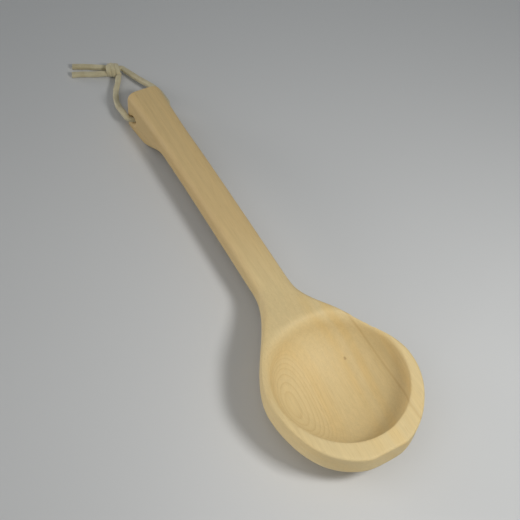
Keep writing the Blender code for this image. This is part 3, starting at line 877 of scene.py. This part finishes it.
def make_lace(materials):
    """The loop, as two strands from the middle of the hole to the knot, and the two cut ends."""
    knot = make_knot(materials)
    strands = (("lace_strand_right", RIGHT_PORT, RIGHT_PORT_TURN, RIGHT_STRAND, -1),
               ("lace_strand_left", LEFT_PORT, LEFT_PORT_TURN, LEFT_STRAND, 1))
    for name, port, turn, route, side in strands:
        line = smooth_route([*knot_port(port, turn), *route, *mouth_bend(side)])[::-1]
        strand = sweep_lace(name, line, level_frames(line), materials, side, -1)
        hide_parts("lace_loop")
    tails = (("lace_end_left", LEFT_TAIL_PORT, LEFT_TAIL, 1.0, "lace_tail_left"),
             ("lace_end_right", RIGHT_TAIL_PORT, RIGHT_TAIL, 3.0, "lace_tail_right"))
    for name, port, route, seed, node in tails:
        line = smooth_route([*knot_port(port, TAIL_PORT_TURN), *route])
        for point in line:
            point.z = max(point.z, TAIL_LOWEST)
        tail = sweep_lace(name, line, level_frames(line), materials, seed, 0, cut_end=True)
        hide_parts(node)


# Carved wood


def smooth_least(first, second, reach):
    """The lower of two heights, with a fillet where they cross."""
    overlap = max(reach - abs(first - second), 0.0) / reach
    return min(first, second) - overlap * overlap * reach / 4.0


def quarter_round(distance, radius):
    """How far a rounded edge has fallen back at this distance in from the end."""
    if distance >= radius:
        return 0.0
    return radius - math.sqrt(radius**2 - (radius - distance) ** 2)


def half_width(x, side):
    """The plan outline's distance from the middle at a station, on the left (1) or right (-1)."""
    if x > END_X + HEEL_TAPER_LENGTH + OUTLINE_SKEW:
        skew_end = TIP_X - SKEW_ENDS_BEFORE_TIP
        x -= side * between(OUTLINE_SKEW, 0.0, (x - BOWL_X) / (skew_end - BOWL_X))
    if x >= BOWL_X:
        return BOWL_RADIUS * math.sqrt(1.0 - ((x - BOWL_X) / FRONT_REACH) ** 2)
    taper = (x - END_X) / HEEL_TAPER_LENGTH
    handle = between(HEEL_TOP_WIDTH, HANDLE_WIDTH, taper) / 2
    handle -= quarter_round(x - END_X, END_CORNER_RADIUS)
    return between(handle, BOWL_RADIUS, (x - NECK_X) / NECK_LENGTH)


def middle_line(x):
    """How far the middle of the wood lies to the left: the handle isn't carved quite straight."""
    handle_middle = (END_X + NECK_X) / 2
    if x < handle_middle:
        return between(-HEEL_LEAN, HANDLE_BOW, (x - END_X) / (handle_middle - END_X))
    return between(HANDLE_BOW, 0.0, (x - handle_middle) / (BOWL_X - handle_middle))


def top_height(x):
    """Height of the upper face at a station."""
    handle = between(HEEL_HEIGHT, HANDLE_TOP, (x - END_X) / (NECK_X - END_X))
    handle -= quarter_round(x - END_X, END_EDGE_RADIUS)
    return between(handle, RIM_HEIGHT, (x - NECK_RISE_X) / NECK_RISE_LENGTH)


def bowl_keel(x):
    """Lowest line of the bowl's outside, a half ellipse that the foot is planed from."""
    half_length = KEEL_REACH if x > BOWL_X else WIDEST_TO_BACK
    reach = max(1.0 - ((x - BOWL_X) / half_length) ** 2, 0.0)
    return WALL_UPRIGHT_FROM - KEEL_DEPTH * math.sqrt(reach)


def bottom_height(x):
    """Height of the underside's middle line at a station, before the feet are planed flat."""
    under_handle = HANDLE_TOP - HANDLE_THICKNESS
    heel_end = END_X + HEEL_FOOT_LENGTH
    handle = between(-FOOT_PLANED_OFF, under_handle, (x - heel_end) / HEEL_FILLET_LENGTH)
    handle += quarter_round(x - END_X, END_EDGE_RADIUS)
    if x >= BOWL_X:
        return bowl_keel(x)
    return smooth_least(handle, bowl_keel(x), UNDER_NECK_FILLET)


def half_ring(x, side):
    """One side of a cross-section, from the middle of its top round to the middle of its underside."""
    width = half_width(x, side)
    top = top_height(x)
    bottom = bottom_height(x)
    bowl_share = ease((x - NECK_X) / (NECK_LENGTH - WIDEST_TO_BACK / 2))
    corner = HANDLE_TOP_EDGE_RADIUS + (RIM_EDGE_RADIUS - HANDLE_TOP_EDGE_RADIUS) * bowl_share
    past_heel = (x - END_X - HEEL_FOOT_LENGTH) / HEEL_FILLET_LENGTH
    handle_curve = between(HEEL_UNDER_EDGE_RADIUS, HANDLE_UNDER_EDGE_RADIUS, past_heel)
    bowl_curve = WALL_UPRIGHT_FROM - bottom
    curve_height = handle_curve + (bowl_curve - handle_curve) * bowl_share
    curve_height = min(curve_height, top - corner - bottom)
    flat_width = (width - min(handle_curve, width)) * (1.0 - bowl_share)
    half = [((width - corner) * step / TOP_STEPS, top) for step in range(TOP_STEPS)]
    for step in range(CORNER_STEPS + 1):
        angle = math.radians(90.0 * (1.0 - step / CORNER_STEPS))
        half.append((width - corner + corner * math.cos(angle), top - corner + corner * math.sin(angle)))
    wall = top - corner - bottom - curve_height
    for step in range(1, SIDE_STEPS):
        half.append((width, top - corner - wall * step / SIDE_STEPS))
    for step in range(LOWER_STEPS + 1):
        angle = math.radians(90.0 * step / LOWER_STEPS)
        y = flat_width + (width - flat_width) * math.cos(angle)
        half.append((y, bottom + curve_height * (1.0 - math.sin(angle))))
    half.append((0.0, bottom))
    flare = between(HEEL_BOTTOM_WIDTH / HEEL_TOP_WIDTH - 1.0, 0.0, (x - END_X) / HEEL_TAPER_LENGTH)
    return [(side * y * (1.0 + flare * (top - z) / top), z) for y, z in half]


def ring(x):
    """One cross-section of the ladle, as points round it. At the heel it leans in towards the foot."""
    left = half_ring(x, 1)
    right = half_ring(x, -1)
    lean = HEEL_UNDERCUT * (1.0 - ease((x - END_X) / HEEL_FOOT_LENGTH))
    upright_from = HEEL_HEIGHT - END_EDGE_RADIUS
    return [(x + lean * max(1.0 - z / upright_from, 0.0), y + middle_line(x), z)
            for y, z in left + right[-2:0:-1]]


def spread(first, last, step):
    """Evenly spaced stations from first up to, but not at, last."""
    count = max(round((last - first) / step), 1)
    return [first + (last - first) * index / count for index in range(count)]


def stations():
    """Where along the ladle the cross-sections are taken."""
    places = []
    for step in range(END_CORNER_STEPS):
        angle = math.radians(90.0 * step / END_CORNER_STEPS)
        places.append(END_X + END_CORNER_RADIUS * (1.0 - math.cos(angle)))
    places += spread(END_X + END_CORNER_RADIUS, NECK_X, HANDLE_STATION_STEP)
    places += spread(NECK_X, BOWL_X, BOWL_STATION_STEP)
    last_angle = math.asin(WIDEST_TO_TIP / FRONT_REACH)
    for step in range(TIP_STATIONS + 1):
        places.append(BOWL_X + FRONT_REACH * math.sin(last_angle * step / TIP_STATIONS))
    return places


def make_blank():
    """The carved outside: cross-sections joined from the handle's end to the bowl's tip."""
    form = bmesh.new()
    rows = []
    for x in stations():
        rows.append([form.verts.new(point) for point in ring(x)])
    join_rows(form, rows)
    form.faces.new(rows[0])
    form.faces.new(rows[-1])
    bmesh.ops.remove_doubles(form, verts=form.verts, dist=WELD_DISTANCE)
    everything = form.verts[:] + form.edges[:] + form.faces[:]
    bmesh.ops.bisect_plane(form, geom=everything, dist=WELD_DISTANCE / 10, plane_co=(0.0, 0.0, 0.0),
                           plane_no=(0.0, 0.0, -1.0), clear_outer=True)
    open_edges = [edge for edge in form.edges if edge.is_boundary]
    bmesh.ops.holes_fill(form, edges=open_edges, sides=0)
    return finish_form("carved_ladle", form)


def turned(name, profile, steps):
    """A solid of revolution about Z: the profile is (radius, height) pairs, from its top to its foot."""
    form = bmesh.new()
    top = form.verts.new((0.0, 0.0, profile[0][1]))
    foot = form.verts.new((0.0, 0.0, profile[-1][1]))
    rows = []
    for radius, height in profile[1:-1]:
        row = []
        for step in range(steps):
            angle = math.radians(360.0 * step / steps)
            row.append(form.verts.new((radius * math.cos(angle), radius * math.sin(angle), height)))
        rows.append(row)
    for index in range(steps):
        after = (index + 1) % steps
        form.faces.new((top, rows[0][index], rows[0][after]))
        form.faces.new((foot, rows[-1][after], rows[-1][index]))
        for row, next_row in zip(rows, rows[1:]):
            form.faces.new((row[index], next_row[index], next_row[after], row[after]))
    return finish_form(name, form)


def hollow_radius(depth):
    """The hollow's half width at a depth below the rim, before its lip is rounded."""
    share = (max(depth, 0.0) / BOWL_DEPTH) ** HOLLOW_FULLNESS
    return OPENING_RADIUS * max(1.0 - share, 0.0) ** (1.0 / HOLLOW_FULLNESS)


def lip_radius(turn):
    """How far the hollow's lip is rounded: widely towards the handle, hardly at all at the tip."""
    along = math.cos(turn)
    if along < 0.0:
        return between(LIP_AT_HANDLE, LIP_AT_SIDES, along + 1.0)
    return between(LIP_AT_SIDES, LIP_AT_TIP, along / LIP_NARROWS_OVER)


def make_hollow():
    """The hollow of the bowl, as a solid to cut with."""
    depths = [-OVERCUT] + [LIP_AT_HANDLE * (step / LIP_STEPS) ** 2 for step in range(LIP_STEPS)]
    for step in range(HOLLOW_DEPTH_STEPS):
        share = math.sin(math.radians(90.0 * step / HOLLOW_DEPTH_STEPS))
        depth = BOWL_DEPTH * share ** (2.0 / HOLLOW_FULLNESS)
        if depth > LIP_AT_HANDLE:
            depths.append(depth)
    form = bmesh.new()
    rows = []
    for depth in depths:
        row = []
        for step in range(HOLLOW_ROUND_STEPS):
            turn = math.radians(360.0 * step / HOLLOW_ROUND_STEPS)
            lip = lip_radius(turn)
            above = min(max(lip - depth, 0.0), lip)
            radius = hollow_radius(depth) + lip - math.sqrt(lip**2 - above**2)
            x = OPENING_X + radius * math.cos(turn) * OPENING_LENGTH / OPENING_WIDTH
            row.append(form.verts.new((x, radius * math.sin(turn), RIM_HEIGHT - depth)))
        rows.append(row)
    foot = form.verts.new((OPENING_X, 0.0, RIM_HEIGHT - BOWL_DEPTH))
    join_rows(form, rows)
    for index in range(HOLLOW_ROUND_STEPS):
        form.faces.new((rows[-1][index], rows[-1][(index + 1) % HOLLOW_ROUND_STEPS], foot))
    form.faces.new(rows[0])
    return finish_form("hollow_cutter", form)


def make_bore():
    """The hole through the heel with both its mouths, as a solid to cut with."""
    far = HOLE_SIDE + OVERCUT
    flare = (HOLE_MOUTH_WIDTH / 2 - HOLE_RADIUS) / HOLE_MOUTH_DEPTH
    profile = [(0.0, far), (HOLE_RADIUS + flare * (HOLE_MOUTH_DEPTH + OVERCUT), far)]
    profile.append((HOLE_RADIUS, HOLE_SIDE - HOLE_MOUTH_DEPTH))
    profile += [(radius, -height) for radius, height in reversed(profile)]
    cutter = turned("bore_cutter", profile, HOLE_ROUND_STEPS)
    cutter.rotation_euler = (math.radians(90.0), 0.0, 0.0)
    cutter.location = (HOLE_X, middle_line(HOLE_X), HOLE_Z)
    return cutter


def freeze(item):
    """Replace an object's mesh by what its modifiers make of it."""
    bpy.context.view_layer.update()
    evaluated = item.evaluated_get(bpy.context.evaluated_depsgraph_get())
    mesh = bpy.data.meshes.new_from_object(evaluated)
    item.modifiers.clear()
    old = item.data
    item.data = mesh
    bpy.data.meshes.remove(old)
    mesh.name = item.name


def cut(item, cutter):
    step = item.modifiers.new(cutter.name, "BOOLEAN")
    step.operation = "DIFFERENCE"
    step.solver = "EXACT"
    step.object = cutter
    freeze(item)
    bpy.data.objects.remove(cutter, do_unlink=True)


def soft_lip_share(point):
    """How much the hollow's lip is rounded here: fully towards the handle, not at the tip."""
    across = point.y / OPENING_RADIUS
    along = (point.x - OPENING_X) / (OPENING_LENGTH / 2)
    off_lip = abs(math.hypot(across, along) - 1.0) / SOFT_LIP_REACH
    drop = (RIM_HEIGHT - point.z) / SOFT_LIP_DROP
    towards_tip = (along - SOFT_LIP_FULL_BEFORE) / SOFT_LIP_FADES_OVER
    return (1.0 - ease(off_lip)) * (1.0 - ease(drop)) * (1.0 - ease(towards_tip))


def sand(item, name, passes, share=None):
    """Take down edges. With share, a function of the place, only where it says."""
    step = item.modifiers.new(name, "SMOOTH")
    step.factor = SANDING_FACTOR
    step.iterations = passes
    if share is not None:
        group = item.vertex_groups.new(name=name)
        for vertex in item.data.vertices:
            weight = share(vertex.co)
            if weight > LEAST_WEIGHT:
                group.add([vertex.index], weight, "REPLACE")
        step.vertex_group = name
    freeze(item)


def make_body(material):
    body = make_blank()
    cut(body, make_hollow())
    cut(body, make_bore())
    remesh = body.modifiers.new("even_mesh", "REMESH")
    remesh.mode = "VOXEL"
    remesh.voxel_size = WOOD_VOXEL
    freeze(body)
    sand(body, "sanded", SANDING_PASSES)
    sand(body, "soft_lip", SOFT_LIP_PASSES, soft_lip_share)
    for vertex in body.data.vertices:
        vertex.co.z = max(vertex.co.z, 0.0)
    body.data.shade_smooth()
    body.data.materials.clear()
    body.data.materials.append(material)
    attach(body, "ladle")
    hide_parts("ladle_body")


# Floor and light


def make_floor():
    material, tree, shader, place = new_material("pale_floor", FLOOR_SPECULAR)
    shader.inputs["Roughness"].default_value = FLOOR_ROUGHNESS
    group, given, made = new_group("floor_tone", [("Place", "NodeSocketVector", (0.0, 0.0, 0.0))],
                                   [("Tone", "NodeSocketFloat")])
    patches = noise(group, given["Place"], FLOOR_TONE_SCALE, 2.0)
    feed(group, made["Tone"], ramp(group, patches, 0.3, 0.7, FLOOR_DARKEST_TONE, 1.0))
    tone = use(tree, group, Place=place)["Tone"]
    bright = add(tree, "ShaderNodeHueSaturation")
    bright.inputs["Color"].default_value = FLOOR
    feed(tree, bright.inputs["Value"], tone)
    feed(tree, shader.inputs["Base Color"], bright.outputs[0])
    form = bmesh.new()
    bmesh.ops.create_grid(form, x_segments=1, y_segments=1, size=FLOOR_HALF_WIDTH)
    floor = finish_form("floor", form)
    floor.data.materials.append(material)


def add_lamp(name, kind, power, colour, towards_lamp, place=(0.0, 0.0, 0.0)):
    """A lamp that the camera doesn't see. It shines against the direction towards_lamp."""
    lamp = bpy.data.lights.new(name, kind)
    lamp.energy = power
    lamp.color = colour
    item = bpy.data.objects.new(name, lamp)
    item.location = place
    item.rotation_euler = Vector(towards_lamp).to_track_quat("Z", "Y").to_euler()
    item.visible_camera = False
    bpy.context.scene.collection.objects.link(item)
    return lamp


def make_square_lamp(name, place, aim_x, size, power, colour):
    """A square lamp that hangs at a place and faces a point of the floor under the ladle."""
    away = Vector(place) - Vector((aim_x, 0.0, 0.0))
    lamp = add_lamp(name, "AREA", power, colour, away, place)
    lamp.shape = "SQUARE"
    lamp.size = size


def make_side_light():
    """A wide, low light from afar, on the sides that face the viewer."""
    lamp = add_lamp("side", "SUN", SIDE_POWER, SIDE_COLOUR, SIDE_TOWARDS)
    lamp.angle = math.radians(SIDE_SPREAD)


def make_front_light():
    """A low lamp whose narrow, soft-edged cone is aimed at the front of the bowl."""
    away = Vector(FRONT_PLACE) - Vector(FRONT_AIM)
    lamp = add_lamp("front", "SPOT", FRONT_POWER, FRONT_COLOUR, away, FRONT_PLACE)
    lamp.spot_size = math.radians(FRONT_CONE)
    lamp.spot_blend = 1.0
    lamp.shadow_soft_size = FRONT_SOFTNESS


def make_room():
    """The light from all round, and a plain pale background for the camera and for mirroring."""
    world = bpy.data.worlds.new("room")
    world.use_nodes = True
    tree = world.node_tree
    tree.nodes.clear()
    rays = add(tree, "ShaderNodeLightPath")
    seen = maths(tree, "MAXIMUM", rays.outputs["Is Camera Ray"], rays.outputs["Is Glossy Ray"])
    seen = maths(tree, "MAXIMUM", seen, rays.outputs["Is Transmission Ray"])
    fill = add(tree, "ShaderNodeBackground")
    fill.inputs["Color"].default_value = ROOM_COLOUR
    fill.inputs["Strength"].default_value = ROOM_LIGHT
    sky = add(tree, "ShaderNodeBackground")
    sky.inputs["Color"].default_value = SKY
    sky.inputs["Strength"].default_value = SKY_LIGHT
    both = add(tree, "ShaderNodeMixShader")
    feed(tree, both.inputs[0], seen)
    feed(tree, both.inputs[1], fill.outputs[0])
    feed(tree, both.inputs[2], sky.outputs[0])
    out = add(tree, "ShaderNodeOutputWorld")
    feed(tree, out.inputs["Surface"], both.outputs[0])
    bpy.context.scene.world = world


make_camera()
node_groups = {
    "rings": make_growth_rings(),
    "fibres": make_fibres(),
    "spot": make_spot(),
    "drift": make_drift(),
    "hide": make_hide(),
}
leather = make_leather(node_groups, "lace_leather", LEATHER, LEATHER_DARK, LEATHER_RELIEF)
cut_leather = make_leather(node_groups, "cut_leather", LEATHER_CUT, LEATHER, CUT_LEATHER_RELIEF)
make_lace([leather, cut_leather])
make_body(make_wood(node_groups))
make_floor()
make_square_lamp("key", KEY_PLACE, KEY_AIM_X, KEY_SIZE, KEY_POWER, KEY_COLOUR)
make_square_lamp("above", ABOVE_PLACE, BOWL_X, ABOVE_SIZE, ABOVE_POWER, ABOVE_COLOUR)
make_side_light()
make_front_light()
make_room()
bpy.context.scene.view_settings.view_transform = "Standard"

bpy.context.view_layer.update()
